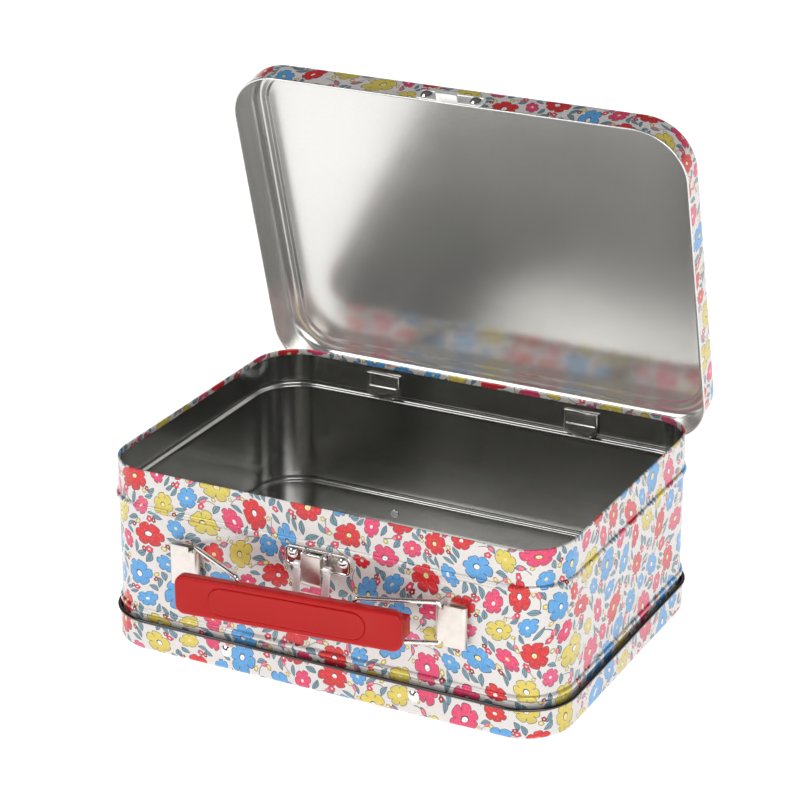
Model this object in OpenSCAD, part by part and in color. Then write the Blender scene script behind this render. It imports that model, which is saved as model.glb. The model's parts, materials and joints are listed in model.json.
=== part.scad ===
// Tinplate lunch box: a hinged-lid case on a riveted base tray, with a toggle
// latch and a pull-out handle on two wire links. Origin: centre of the base's
// underside. +Z up, front (latch and handle) towards -Y.

/* [Body] */
// Outside width of the main wall
body_w = 200; // [190:1:210]
// Outside depth of the main wall
body_d = 148; // [140:1:156]
// Height of the body's top rim above the ground
rim_z = 80; // [78:0.5:84]
// Corner radius of the main wall
corner_r = 20; // [18:1:24]
// Thickness of the tinplate
sheet_t = 0.35; // [0.3:0.05:0.4]
// Height of the bead that the closed lid rests on
stop_bead_z = 64; // [63:0.5:65]
// How far the beads stand out of the wall
bead_r = 1.5; // [1.3:0.1:1.6]

/* [Base tray] */
// Height of the tray's rolled rim
tray_z = 14.4; // [13:0.2:15]
// Half the spacing of the base rivets
base_rivet_x = 42; // [36:1:48]

/* [Lid] */
// Opening angle of the lid in the stored pose
lid_open = 74; // [60:1:90]
// Gap between the neck and the lid's skirt
lid_gap = 1.2; // [1.1:0.1:1.4]
// Depth of the lid from its rolled edge to the edge of its top
lid_depth = 16.6; // [16.4:0.2:18]
// Half the spacing of the two hinges
hinge_x = 47; // [40:1:60]

/* [Latch] */
// Width of the latch plate
latch_w = 29; // [28:1:32]
// Length of the bail from its pivot to its cross bar
bail_len = 10.5; // [10:0.5:11]
// Lean of the hanging bail away from the wall
bail_lean = 12; // [10:1:14]

/* [Handle] */
// Length of the grip
grip_len = 95; // [93:1:98]
// Height of the grip
grip_h = 16.6; // [15.6:0.2:16.6]
// Half the distance between the two link pivots
link_x = 54.3; // [53:0.1:56]
// Reach of a link from pivot bar to grip bar
link_len = 33; // [32:0.5:34]
// Left link's swing away from the wall in the stored pose
link_a_left = 29.5; // [26:0.5:31]
// Right link's swing away from the wall in the stored pose
link_a_right = 20.5; // [19:0.5:24]

/* [Hidden] */
$fn = 48;
e = 0.01;                       // overcut

wall_y = body_d / 2;            // outer face of the front and back walls
tin = sheet_t;

// Rim and beads
hem_h = 2.4;                    // flattened hem on the body's rim
hem_t = 0.9;
low_bead_z = tray_z + 3.2;      // bead just above the base tray
wall_foot_z = 1.2;              // lower edge of the wall inside the tray

// Base tray
tray_gap = 0.9;                 // between wall and tray
tray_roll_r = 0.85;             // rolled rim
tray_edge_r = 2.5;              // rounded edge of the floor

// Lid, closed: heights above ground and offsets outside the main wall
lid_hem_r = 0.5;
lid_hem_u = lid_gap + 0.45;
lid_hem_z = stop_bead_z + 2.1;
lid_top_z = lid_hem_z - lid_hem_r + lid_depth;
lid_edge_r = 5;                 // rounded edge of the lid's top
lid_ledge = 1.4;                // flat ledge inside the rounded edge
lid_step = 0.8;                 // raised panel above the ledge
lid_slope = 1.4;                // width of the sloping step

// Hinges
hinge_u = 3.9;                  // pivot's distance behind the back wall
hinge_y = wall_y + hinge_u;
hinge_z = stop_bead_z + 0.6;
hinge_w = 15.5;
knuckle_w = 7.3;
pin_r = 0.8;
pin_fit = 0.05;                 // running clearance of every pin
barrel_r = 1.5;
plate_t = 0.6;

// Latch
latch_z = 57.9;                 // centre of the plate
latch_h = 8.8;
latch_t = 0.8;
latch_rivet_x = 11;
latch_rivet_z = 59.4;
rivet_head_r = 2.45;
lever_z = 60.8;                 // lever pivot
lever_u = 3.2;
lever_w = 8.4;
lever_top_z = 62;
lever_h = 13.6;                 // from the lever's top to its lowest point
lever_out = 6.6;                // front face of the lever in front of the wall
bail_z = 56.8;                  // bail pivot, on the lever
bail_u = 4.6;
bail_half = 8;                  // half the bail's outside width
bail_strip = 3.1;
bail_t = 0.8;
bail_bar = 2;                   // height of the bail's cross bar
latch_pin_r = 0.7;

// Handle: offsets are from the front wall, outwards
handle_z = 44.3;                // centre of links and brackets
link_u = 2.6;                   // pivot bar
wire_r = 1;
arm_dz = 8.7;                   // half the spacing of a link's arms
bracket_step = 56.4;            // where its barrel part ends
bracket_out = 65.5;             // folded outer edge
bracket_h = 17.2;
barrel_h = 13.4;                // barrel part between the link's arms
grip_z = 44.3;
grip_dx = -2.6;                 // the grip rests a little to the left
grip_face = 6.4;                // grip's face in front of its bars
grip_wall = 1.6;
grip_shell = 4.2;               // depth of the grip's front shell
channel = 2.2;                  // half the depth of the channel for the bars
strap_t = 1.4;
strap_h = 8.4;
strap_in = 13.5;                // half the gap between the two rear straps
strap_block = 2.4;
left_bar = [-link_x + link_len * cos(link_a_left), link_u + link_len * sin(link_a_left)];
right_bar = [link_x - link_len * cos(link_a_right), link_u + link_len * sin(link_a_right)];
grip_yaw = atan2(left_bar[1] - right_bar[1], right_bar[0] - left_bar[0]);
grip_u = left_bar[1] - (grip_dx - left_bar[0]) * tan(grip_yaw);

// ---- shared shapes ----

// Rounded rectangle
module rounded(w, d, r) {
  square([w - 2 * r, d], center = true);
  square([w, d - 2 * r], center = true);
  for (sx = [-1, 1], sy = [-1, 1]) translate([sx * (w / 2 - r), sy * (d / 2 - r)]) circle(r);
}

// Sweeps a wall profile (x outwards from the wall's face, y up) round the case
module swept_wall(w = body_w, d = body_d, r = corner_r) {
  for (k = [0, 1]) {
    rotate(k * 180) translate([0, d / 2, 0]) rotate([90, 0, 90])
      linear_extrude(w - 2 * r, center = true) children();
    rotate(k * 180 - 90) translate([0, w / 2, 0]) rotate([90, 0, 90])
      linear_extrude(d - 2 * r, center = true) children();
  }
  for (k = [0:3]) {
    sx = (k == 0 || k == 3) ? 1 : -1;
    sy = k < 2 ? 1 : -1;
    translate([sx * (w / 2 - r), sy * (d / 2 - r), 0]) rotate(k * 90)
      rotate_extrude(angle = 90) translate([r, 0]) children();
  }
}

// Half-round bead pressed outwards, as a thin shell
module bead_profile(z) {
  translate([0, z]) difference() {
    circle(bead_r);
    circle(bead_r - tin);
    translate([-tin - 3, -2]) square([3, 4]);
  }
}

// Stretch of plain wall between two heights
module wall_profile(z0, z1) {
  translate([-tin, z0]) square([tin, z1 - z0]);
}

// Quarter of a thin ring: the rounded edge between a wall and a flat
module edge_profile(u, z, r, up) {
  translate([u - r, z]) intersection() {
    difference() { circle(r); circle(r - tin); }
    translate([0, up ? 0 : -r]) square([r, r]);
  }
}

// Dome-headed rivet through the front wall, head outwards (-Y), tail inwards
module wall_rivet(x, z, u, head_r, dome, shank_r, grip) {
  translate([x, -wall_y - u, z]) rotate([90, 0, 0]) {
    intersection() {
      translate([0, 0, dome - (head_r * head_r + dome * dome) / (2 * dome)])
        sphere((head_r * head_r + dome * dome) / (2 * dome));
      cylinder(dome, r = head_r);
    }
    translate([0, 0, -grip]) cylinder(grip + e, r = shank_r);
    translate([0, 0, -grip - 0.6]) cylinder(0.6, r = shank_r + 0.7);
  }
}

// Turns the closed lid about its hinge into the stored pose
module opened() {
  translate([0, hinge_y, hinge_z]) rotate([-lid_open, 0, 0])
    translate([0, -hinge_y, -hinge_z]) children();
}

// ---- case ----

base_rivet_z = 8.8;
base_shank_r = 1.3;
base_grip = tray_gap + 2 * tin;

module base_rivet_holes() {
  for (k = [0, 1], s = [-1, 1])
    rotate(k * 180) translate([s * base_rivet_x, -wall_y - 3, base_rivet_z])
      rotate([-90, 0, 0]) cylinder(5, r = base_shank_r);
}

module body_shell() {
  color("ivory") difference() {
    swept_wall() {
      wall_profile(wall_foot_z, low_bead_z - bead_r + tin);
      bead_profile(low_bead_z);
      wall_profile(low_bead_z + bead_r - tin, stop_bead_z - bead_r + tin);
      bead_profile(stop_bead_z);
      wall_profile(stop_bead_z + bead_r - tin, rim_z - 0.2);
      translate([-hem_t, rim_z - hem_h]) difference() {
        translate([0, 0.3]) square([hem_t, hem_h - 0.6]);
        translate([tin, 0]) square([hem_t - 2 * tin, hem_h - hem_t / 2]);
      }
      translate([-hem_t / 2, rim_z - hem_t / 2]) difference() {
        circle(hem_t / 2);
        circle(hem_t / 2 - tin + 0.05);
        translate([-hem_t, -hem_t]) square([2 * hem_t, hem_t]);
      }
    }
    base_rivet_holes();
    for (s = [-1, 1]) translate([s * hinge_x, wall_y, stop_bead_z])
      cube([knuckle_w + 0.6, 5, 1.2], center = true);
    for (s = [-1, 1]) translate([s * latch_rivet_x, -wall_y - 1, latch_rivet_z])
      rotate([-90, 0, 0]) cylinder(3, r = 1.1);
    for (sx = [-1, 1], sz = [-1, 1])
      translate([sx * bracket_tab_x, -wall_y, handle_z + sz * bracket_tab_dz])
        cube([plate_t, 3, bracket_tab_h], center = true);
  }
}

module base_tray() {
  color("ivory") difference() {
    union() {
      swept_wall() {
        wu = tray_gap + tin;
        translate([tray_gap, tray_edge_r]) square([tin, tray_z - tray_edge_r - tray_roll_r]);
        edge_profile(wu, tray_edge_r, tray_edge_r, false);
        translate([tray_gap + tin / 2 + 0.4, tray_z - tray_roll_r]) difference() {
          circle(tray_roll_r);
          circle(tray_roll_r - tin);
        }
      }
      in = tray_edge_r - tray_gap - tin;
      linear_extrude(tin) rounded(body_w - 2 * in, body_d - 2 * in, corner_r - in);
    }
    base_rivet_holes();
  }
}

module base_rivets(back) {
  color("silver") rotate(back ? 180 : 0) for (s = [-1, 1])
    wall_rivet(s * base_rivet_x, base_rivet_z, tray_gap + tin, 2.6, 1.3, base_shank_r, base_grip);
}

// ---- hinges ----

hinge_plate_z0 = stop_bead_z - 0.3;
hinge_plate_z1 = stop_bead_z + 11;

module hinge_pin(s) {
  color("silver") translate([s * hinge_x - hinge_w / 2, hinge_y, hinge_z]) rotate([0, 90, 0]) {
    cylinder(hinge_w, r = pin_r);
    translate([0, 0, -0.5]) cylinder(0.5, r = barrel_r - 0.2);
    translate([0, 0, hinge_w]) cylinder(0.5, r = barrel_r - 0.2);
  }
}

// Barrel round a hinge pin, along X
module knuckle(x0, x1) {
  translate([x0, hinge_y, hinge_z]) rotate([0, 90, 0]) difference() {
    cylinder(x1 - x0, r = barrel_r);
    translate([0, 0, -e]) cylinder(x1 - x0 + 2 * e, r = pin_r + pin_fit);
  }
}

// Fixed half: a framed plate inside the neck, with a tongue through the bead
module hinge_plate(s) {
  color("silver") {
    translate([s * hinge_x, wall_y - tin, 0]) {
      difference() {
        translate([-hinge_w / 2, -1.5, stop_bead_z + 2.6])
          cube([hinge_w, 1.5, hinge_plate_z1 - stop_bead_z - 2.6]);
        translate([-hinge_w / 2 + 1.2, -1.5 - e, stop_bead_z + 5])
          cube([hinge_w - 2.4, 0.9, hinge_plate_z1 - stop_bead_z - 6.2]);
      }
      translate([-hinge_w / 2, -plate_t - 0.9, stop_bead_z + 0.6]) cube([hinge_w, plate_t, 2]);
      translate([-knuckle_w / 2, -1.5, stop_bead_z - plate_t / 2]) cube([knuckle_w, plate_t, 1.2]);
    }
    difference() {
      translate([s * hinge_x - knuckle_w / 2, wall_y - tin - 1.5, stop_bead_z - plate_t / 2])
        cube([knuckle_w, hinge_u + tin + 1.5, plate_t]);
      translate([s * hinge_x - knuckle_w, hinge_y, hinge_z]) rotate([0, 90, 0])
        cylinder(2 * knuckle_w, r = pin_r + pin_fit);
    }
    knuckle(s * hinge_x - knuckle_w / 2, s * hinge_x + knuckle_w / 2);
  }
}

// Moving half: a leaf on the lid's rear skirt with a knuckle at each end
module lid_hinge_leaf(s) {
  leaf_u = lid_hem_u + lid_hem_r + 0.1;
  side = (hinge_w - knuckle_w) / 2 - 0.3;
  color("silver") opened() {
    translate([s * hinge_x - hinge_w / 2, wall_y + leaf_u, hinge_z + barrel_r])
      cube([hinge_w, plate_t, 8]);
    translate([s * hinge_x - hinge_w / 2, wall_y + lid_gap + tin, hinge_z + barrel_r + 3])
      cube([hinge_w, leaf_u - lid_gap - tin, 5]);
    for (k = [-1, 1]) {
      x0 = s * hinge_x + (k < 0 ? -hinge_w / 2 : hinge_w / 2 - side);
      knuckle(x0, x0 + side);
      translate([x0, 0, 0]) difference() {
        translate([0, wall_y + leaf_u, hinge_z]) cube([side, plate_t, barrel_r]);
        translate([-e, hinge_y, hinge_z]) rotate([0, 90, 0])
          cylinder(side + 2 * e, r = barrel_r - 0.1);
      }
    }
  }
}

// ---- lid ----

module lid_shell() {
  top_in = lid_edge_r - lid_gap - tin;
  panel_in = top_in + lid_ledge + lid_slope;
  color("ivory") opened() {
    difference() {
      swept_wall() {
        translate([lid_gap, lid_hem_z]) square([tin, lid_top_z - lid_edge_r - lid_hem_z]);
        edge_profile(lid_gap + tin, lid_top_z - lid_edge_r, lid_edge_r, true);
        translate([-top_in - lid_ledge, lid_top_z - tin]) square([lid_ledge, tin]);
        polygon([
          [-top_in - lid_ledge, lid_top_z], [-panel_in, lid_top_z + lid_step],
          [-panel_in, lid_top_z + lid_step - tin], [-top_in - lid_ledge, lid_top_z - tin]]);
        translate([lid_hem_u, lid_hem_z]) circle(lid_hem_r);
      }
      for (s = [-1, 1]) translate([s * catch_rivet_x, -wall_y - 3, catch_z])
        rotate([-90, 0, 0]) cylinder(4, r = 1.1);
    }
    translate([0, 0, lid_top_z + lid_step - tin]) linear_extrude(tin)
      rounded(body_w - 2 * panel_in, body_d - 2 * panel_in, corner_r - panel_in);
  }
}

catch_rivet_x = 11;
catch_z = lid_hem_z + 4.4;
catch_w = 30;
catch_h = 6.8;
hook_w = 9.4;
hook_out = 4.6;
hook_t = 0.6;
hook_z = bail_z + bail_len;     // ledge that the raised bail rests on

// Catch on the lid's front edge: a plate with a bent-out hook in its middle
module lid_catch() {
  face_u = lid_gap + tin;
  color("silver") opened() difference() {
    union() {
      translate([0, -wall_y - face_u, catch_z]) rotate([90, 0, 0])
        linear_extrude(latch_t) rounded(catch_w, catch_h, 2);
      translate([-hook_w / 2, -wall_y - face_u - hook_out, hook_z - hook_t])
        cube([hook_w, hook_out, hook_t]);
      translate([-hook_w / 2, -wall_y - face_u - hook_out, hook_z - hook_t])
        cube([hook_w, hook_t, 2.4]);
    }
    for (s = [-1, 1]) translate([s * catch_rivet_x, -wall_y - 4, catch_z])
      rotate([-90, 0, 0]) cylinder(4, r = 1.1);
  }
}

module lid_catch_rivets() {
  color("silver") opened() for (s = [-1, 1])
    wall_rivet(s * catch_rivet_x, catch_z, lid_gap + tin + latch_t, rivet_head_r, 1.3,
      1.1, tin + latch_t);
}

// ---- latch ----

// Base plate with two ears that carry the lever's pin
module latch_plate() {
  ear_t = 0.8;
  color("silver") difference() {
    union() {
      translate([0, -wall_y, latch_z]) rotate([90, 0, 0]) linear_extrude(latch_t)
        rounded(latch_w, latch_h, 2.6);
      for (s = [-1, 1]) translate([s * (lever_w / 2 + 0.35 + ear_t / 2), -wall_y, lever_z]) {
        translate([0, -lever_u / 2, 0]) cube([ear_t, lever_u, 3], center = true);
        translate([0, -lever_u, 0]) rotate([0, 90, 0]) cylinder(ear_t, r = 1.5, center = true);
      }
    }
    translate([-latch_w / 2, -wall_y - lever_u, lever_z]) rotate([0, 90, 0])
      cylinder(latch_w, r = latch_pin_r);
    for (s = [-1, 1]) translate([s * latch_rivet_x, -wall_y - 1, latch_rivet_z])
      rotate([-90, 0, 0]) cylinder(2, r = 1.1);
  }
}

module latch_rivets() {
  color("silver") for (s = [-1, 1])
    wall_rivet(s * latch_rivet_x, latch_rivet_z, latch_t, rivet_head_r, 1.6, 1.1, latch_t + tin);
}

// Folded lever: a face, two cheeks and a curled foot
module latch_lever() {
  face_t = 0.8;
  cheek_t = 0.8;
  foot_r = 2.6;
  low_z = lever_top_z - lever_h;
  color("silver") difference() {
    union() {
      translate([-lever_w / 2, -wall_y - lever_out, low_z + foot_r])
        cube([lever_w, face_t, lever_h - foot_r]);
      translate([-lever_w / 2, -wall_y - lever_out + foot_r, low_z + foot_r])
        rotate([0, 90, 0]) intersection() {
          difference() {
            cylinder(lever_w, r = foot_r);
            translate([0, 0, -e]) cylinder(lever_w + 2 * e, r = foot_r - face_t);
          }
          translate([0, -foot_r, -e]) cube([foot_r, foot_r, lever_w + 2 * e]);
        }
      for (s = [-1, 1]) translate([s * (lever_w - cheek_t) / 2, 0, 0]) {
        translate([-cheek_t / 2, -wall_y - lever_out + e, bail_z - 1.6])
          cube([cheek_t, lever_out - lever_u + 1.3, lever_top_z - bail_z + 1.6]);
      }
    }
    translate([-lever_w, -wall_y - lever_u, lever_z]) rotate([0, 90, 0])
      cylinder(2 * lever_w, r = latch_pin_r + pin_fit);
    translate([-lever_w, -wall_y - bail_u, bail_z]) rotate([0, 90, 0])
      cylinder(2 * lever_w, r = latch_pin_r);
  }
}

module latch_lever_pin() {
  half = lever_w / 2 + 1.5;
  color("silver") translate([-half, -wall_y - lever_u, lever_z]) rotate([0, 90, 0])
    cylinder(2 * half, r = latch_pin_r);
}

module latch_bail_pin() {
  half = bail_half + 0.3;
  color("silver") translate([-half, -wall_y - bail_u, bail_z]) rotate([0, 90, 0])
    cylinder(2 * half, r = latch_pin_r);
}

// Bail: a flat loop that hangs from the lever and swings up over the lid's hook
module latch_bail() {
  eye_r = 1.5;
  arm_in = bail_half - bail_strip;
  color("silver") translate([0, -wall_y - bail_u, bail_z]) rotate([-bail_lean, 0, 0])
    difference() {
      union() {
        for (s = [-1, 1]) {
          translate([s * (bail_half - bail_strip / 2) - bail_strip / 2, -bail_t / 2, -bail_len - 1])
            cube([bail_strip, bail_t, bail_len]);
          translate([s * (bail_half - bail_strip / 2), 0, 0]) rotate([0, 90, 0])
            cylinder(bail_strip, r = eye_r, center = true);
        }
        translate([-bail_half, -bail_t / 2, -bail_len - bail_bar]) cube([2 * bail_half, bail_t, bail_bar]);
      }
      translate([-bail_half - e, 0, 0]) rotate([0, 90, 0])
        cylinder(2 * bail_half + 2 * e, r = latch_pin_r + pin_fit);
      translate([-arm_in, -2, -bail_len]) cube([2 * arm_in, 4, bail_len + 2]);
    }
}

// ---- handle ----

bracket_t = 0.8;
bracket_tab_x = 61;
bracket_tab_dz = 6;
bracket_tab_h = 4.6;

// Folded clip on the front wall: a barrel round the link's bar, two sheets and
// a rounded outer fold, held by two tabs clinched inside the wall
module handle_bracket(s) {
  tube_r = wire_r + pin_fit + bracket_t;
  color("silver") translate([0, -wall_y - link_u, handle_z]) mirror([s < 0 ? 1 : 0, 0, 0]) {
    difference() {
      union() {
        translate([link_x, 0, 0]) cylinder(barrel_h, r = tube_r, center = true);
        for (k = [-1, 1]) translate([link_x, k < 0 ? -tube_r : tube_r - bracket_t, -barrel_h / 2])
          cube([bracket_step - link_x + 1, bracket_t, barrel_h]);
      }
      translate([link_x, 0, 0]) cylinder(barrel_h + 1, r = wire_r + pin_fit, center = true);
    }
    for (k = [-1, 1]) translate([bracket_step, k < 0 ? -tube_r : tube_r - bracket_t, -bracket_h / 2])
      cube([bracket_out - bracket_step - tube_r, bracket_t, bracket_h]);
    intersection() {
      translate([bracket_out - tube_r, 0, 0]) difference() {
        cylinder(bracket_h, r = tube_r, center = true);
        cylinder(bracket_h + 1, r = tube_r - bracket_t, center = true);
      }
      translate([bracket_out - tube_r, -3, -bracket_h]) cube([3, 6, 2 * bracket_h]);
    }
    translate([bracket_step, tube_r - e, -bracket_h / 2])
      cube([bracket_out - bracket_step - tube_r, link_u - tube_r + e, bracket_h]);
    for (k = [-1, 1]) translate([bracket_tab_x, link_u, k * bracket_tab_dz]) {
      translate([-plate_t / 2, -e, -bracket_tab_h / 2]) cube([plate_t, tin + plate_t, bracket_tab_h]);
      translate([-3, tin, -bracket_tab_h / 2]) cube([3, plate_t, bracket_tab_h]);
    }
  }
}

// Wire link: a rounded rectangle of round wire, with its pivot bar at the origin
module wire_link() {
  bend = 1.6;
  for (k = [0, 1]) {
    translate([k * link_len, 0, 0]) cylinder(2 * (arm_dz - bend), r = wire_r, center = true);
    for (m = [-1, 1]) translate([bend + k * (link_len - 2 * bend), 0, m * (arm_dz - bend)])
      rotate([90, 0, 0]) rotate(k == 0 ? (m > 0 ? 90 : 180) : (m > 0 ? 0 : 270))
        rotate_extrude(angle = 90) translate([bend, 0]) circle(wire_r);
  }
  for (m = [-1, 1]) translate([bend, 0, m * arm_dz]) rotate([0, 90, 0])
    cylinder(link_len - 2 * bend, r = wire_r);
}

module handle_link(s) {
  a = s < 0 ? link_a_left : link_a_right;
  color("silver") translate([s * link_x, -wall_y - link_u, handle_z])
    rotate(s < 0 ? -a : 180 + a) wire_link();
}

// Hollow grip: front shell, and two rear straps on blocks that trap the links' bars
module handle_grip() {
  color("firebrick")
    translate([grip_dx, -wall_y - grip_u, grip_z]) rotate(grip_yaw) {
      difference() {
        translate([0, grip_shell - grip_face, 0]) rotate([90, 0, 0]) linear_extrude(grip_shell)
          rounded(grip_len, grip_h, 3);
        translate([0, 1, 0]) rotate([90, 0, 0]) linear_extrude(grip_face + 1 - grip_wall)
          rounded(grip_len - 2 * grip_wall, grip_h - 2 * grip_wall, 1.4);
      }
      translate([0, -grip_face, 0]) rotate([90, 0, 0]) linear_extrude(0.3)
        rounded(grip_len - 30, grip_h - 5.5, 5.4);
      for (s = [-1, 1]) {
        for (x = [strap_in, grip_len / 2 - strap_block])
          translate([s * (x + strap_block / 2), (channel - grip_face + grip_wall) / 2, 0])
            cube([strap_block, channel + grip_face - grip_wall, strap_h], center = true);
        translate([s * (strap_in + grip_len / 2) / 2, channel + strap_t / 2, 0])
          cube([grip_len / 2 - strap_in, strap_t, strap_h], center = true);
      }
    }
}

body_shell();
base_tray();
base_rivets(false);  // base_rivets_front
base_rivets(true);  // base_rivets_back
hinge_plate(-1);  // hinge_plate_left
hinge_plate(1);  // hinge_plate_right
hinge_pin(-1);  // hinge_pin_left
hinge_pin(1);  // hinge_pin_right
lid_shell();
lid_hinge_leaf(-1);  // lid_hinge_leaf_left
lid_hinge_leaf(1);  // lid_hinge_leaf_right
lid_catch();
lid_catch_rivets();
latch_plate();
latch_rivets();
latch_lever();
latch_lever_pin();
latch_bail();
latch_bail_pin();
handle_bracket(-1);  // handle_bracket_left
handle_bracket(1);  // handle_bracket_right
handle_link(-1);  // handle_link_left
handle_link(1);  // handle_link_right
handle_grip();
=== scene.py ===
"""Looks of a floral tinplate lunch box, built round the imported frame."""

import json
import math

import bmesh
import bpy
import numpy as np
from mathutils import Matrix, Vector, noise

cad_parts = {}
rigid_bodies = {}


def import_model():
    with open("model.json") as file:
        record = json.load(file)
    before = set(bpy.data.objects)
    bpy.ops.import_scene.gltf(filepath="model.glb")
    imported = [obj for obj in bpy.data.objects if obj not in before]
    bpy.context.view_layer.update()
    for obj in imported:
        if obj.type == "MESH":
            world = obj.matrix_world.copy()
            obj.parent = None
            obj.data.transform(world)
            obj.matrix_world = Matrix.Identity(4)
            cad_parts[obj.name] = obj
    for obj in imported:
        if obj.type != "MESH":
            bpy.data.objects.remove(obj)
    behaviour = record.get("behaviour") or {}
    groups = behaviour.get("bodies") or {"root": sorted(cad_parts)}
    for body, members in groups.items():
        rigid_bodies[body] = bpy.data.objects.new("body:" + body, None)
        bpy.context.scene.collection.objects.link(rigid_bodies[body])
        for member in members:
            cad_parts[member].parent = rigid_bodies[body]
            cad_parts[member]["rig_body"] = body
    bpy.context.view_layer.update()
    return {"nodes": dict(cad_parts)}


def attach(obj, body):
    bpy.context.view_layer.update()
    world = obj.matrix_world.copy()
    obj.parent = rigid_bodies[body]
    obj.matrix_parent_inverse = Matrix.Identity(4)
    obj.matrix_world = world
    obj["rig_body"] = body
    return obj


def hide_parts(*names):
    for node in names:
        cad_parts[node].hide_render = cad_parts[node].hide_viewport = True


MM = 0.001

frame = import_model()
nodes = frame["nodes"]


# ------------------------------------------------------------------ node graphs
class S:
    """A socket that can be used in arithmetic."""

    def __init__(self, g, socket):
        self.g, self.s = g, socket

    def __add__(self, o): return self.g.m("ADD", self, o)
    def __sub__(self, o): return self.g.m("SUBTRACT", self, o)
    def __rsub__(self, o): return self.g.m("SUBTRACT", o, self)
    def __mul__(self, o): return self.g.m("MULTIPLY", self, o)
    def __rmul__(self, o): return self.g.m("MULTIPLY", o, self)
    def __truediv__(self, o): return self.g.m("DIVIDE", self, o)
    def __gt__(self, o): return self.g.m("GREATER_THAN", self, o)
    def __lt__(self, o): return self.g.m("LESS_THAN", self, o)


class Graph:
    """A material's node tree with a Principled shader at its end."""

    def __init__(self, name):
        self.mat = bpy.data.materials.new(name)
        self.mat.use_nodes = True
        self.nt = self.mat.node_tree
        self.nt.nodes.clear()
        self.out = self.node("ShaderNodeOutputMaterial")
        self.bsdf = self.node("ShaderNodeBsdfPrincipled")
        self.nt.links.new(self.bsdf.outputs[0], self.out.inputs[0])

    def node(self, kind, **props):
        n = self.nt.nodes.new(kind)
        for k, v in props.items():
            setattr(n, k, v)
        return n

    def put(self, socket, v):
        if isinstance(v, S):
            self.nt.links.new(v.s, socket)
        elif isinstance(v, (tuple, list)) and socket.type == "RGBA" and len(v) == 3:
            socket.default_value = (*v, 1)
        else:
            socket.default_value = v

    def m(self, op, a, b=0.0):
        n = self.node("ShaderNodeMath", operation=op)
        self.put(n.inputs[0], a)
        self.put(n.inputs[1], b)
        return S(self, n.outputs[0])

    def step(self, x, a, b, lo=0.0, hi=1.0):
        """Smooth step of x from a to b, giving lo to hi."""
        n = self.node("ShaderNodeMapRange", interpolation_type="SMOOTHSTEP")
        for i, v in enumerate((x, a, b, lo, hi)):
            self.put(n.inputs[i], v)
        return S(self, n.outputs[0])

    def mix(self, f, a, b):
        n = self.node("ShaderNodeMix", data_type="RGBA")
        self.put(n.inputs[0], f)
        self.put(n.inputs[6], a)
        self.put(n.inputs[7], b)
        return S(self, n.outputs[2])

    def attr(self, name):
        n = self.node("ShaderNodeAttribute", attribute_type="GEOMETRY", attribute_name=name)
        return S(self, n.outputs["Vector"])

    def vec(self, x, y, z=0.0):
        n = self.node("ShaderNodeCombineXYZ")
        for i, v in enumerate((x, y, z)):
            self.put(n.inputs[i], v)
        return S(self, n.outputs[0])

    def xyz(self, v):
        n = self.node("ShaderNodeSeparateXYZ")
        self.put(n.inputs[0], v)
        return [S(self, o) for o in n.outputs]

    def mapped(self, v, loc=(0, 0, 0), rot=(0, 0, 0), scale=(1, 1, 1)):
        n = self.node("ShaderNodeMapping")
        self.put(n.inputs[0], v)
        n.inputs[1].default_value = loc
        n.inputs[2].default_value = rot
        n.inputs[3].default_value = scale
        return S(self, n.outputs[0])

    def noise(self, v, scale, detail=2.0, rough=0.5):
        n = self.node("ShaderNodeTexNoise")
        self.put(n.inputs["Vector"], v)
        n.inputs["Scale"].default_value = scale
        n.inputs["Detail"].default_value = detail
        n.inputs["Roughness"].default_value = rough
        return S(self, n.outputs[0])

    def cells(self, v, size):
        """Square cells: each one's random colour and its centre."""
        n = self.node("ShaderNodeTexVoronoi", voronoi_dimensions="2D", feature="F1")
        self.put(n.inputs["Vector"], v)
        n.inputs["Scale"].default_value = 1 / size
        n.inputs["Randomness"].default_value = 0.0
        return S(self, n.outputs["Color"]), S(self, n.outputs["Position"])

    def choice(self, f, stops):
        """One of several colours, by where f falls among the stops."""
        n = self.node("ShaderNodeValToRGB")
        r = n.color_ramp
        r.interpolation = "CONSTANT"
        while len(r.elements) < len(stops):
            r.elements.new(0.5)
        for e, (p, c) in zip(r.elements, stops):
            e.position = p
            e.color = (*c, 1)
        self.put(n.inputs[0], f)
        return S(self, n.outputs[0])

    def bump(self, height, strength, distance):
        n = self.node("ShaderNodeBump")
        n.inputs["Strength"].default_value = strength
        n.inputs["Distance"].default_value = distance
        self.put(n.inputs["Height"], height)
        return S(self, n.outputs[0])

    def length(self, x, y):
        return self.m("SQRT", x * x + y * y)

    def position(self):
        n = self.node("ShaderNodeTexCoord")
        return S(self, n.outputs["Object"])

    def set(self, **kw):
        for k, v in kw.items():
            self.put(self.bsdf.inputs[k.replace("_", " ")], v)
        return self.mat


def linear(c):
    """One sRGB value, 0-255, to linear."""
    c /= 255
    return c / 12.92 if c <= 0.04045 else ((c + 0.055) / 1.055) ** 2.4


def rgb(r, g, b):
    return linear(r), linear(g), linear(b)


# ------------------------------------------------------------------ floral print
GROUND = rgb(219, 214, 210)
RED = rgb(212, 22, 28)
PINK = rgb(222, 58, 104)
BLUE = rgb(84, 158, 216)
YELLOW = rgb(216, 196, 84)
LEAF = rgb(104, 142, 156)
INK = rgb(44, 54, 70)
PALE_PINK = rgb(222, 84, 124)
EYE_WHITE, EYE_YELLOW = rgb(240, 240, 238), rgb(236, 222, 150)
TINY_PINK, TINY_RED, TINY_YELLOW = rgb(226, 54, 92), rgb(168, 22, 36), rgb(222, 204, 110)
OCHRE = rgb(120, 100, 60)
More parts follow.
